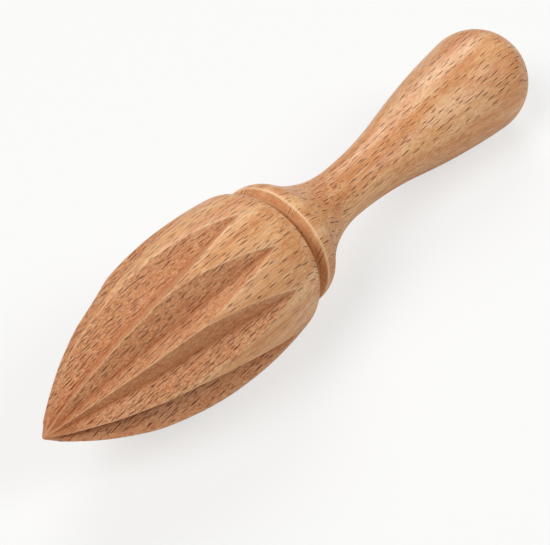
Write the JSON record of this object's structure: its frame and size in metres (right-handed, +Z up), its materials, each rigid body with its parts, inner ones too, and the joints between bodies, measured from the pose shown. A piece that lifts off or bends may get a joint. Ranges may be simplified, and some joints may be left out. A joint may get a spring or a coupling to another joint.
{
  "type": "citrus reamer",
  "caption": "Hand citrus reamer turned from one piece of beech: a pointed fluted head, a collar with a crisp rim, a slim neck and a round-ended handle.",
  "frame": {"origin": "centre of the bounding box on the surface that the reamer lies on", "axes": "+X along the length from the pointed tip towards the round end of the handle, +Z up as it lies on its belly and the end of its handle, +Y to the left"},
  "size_m": [0.1698, 0.0386, 0.0386],
  "materials": {
    "beech": "satin oiled beech with short dark ray flecks along the grain"
  },
  "bodies": {
    "root": {"reamer": "beech"}
  },
  "joints": []
}
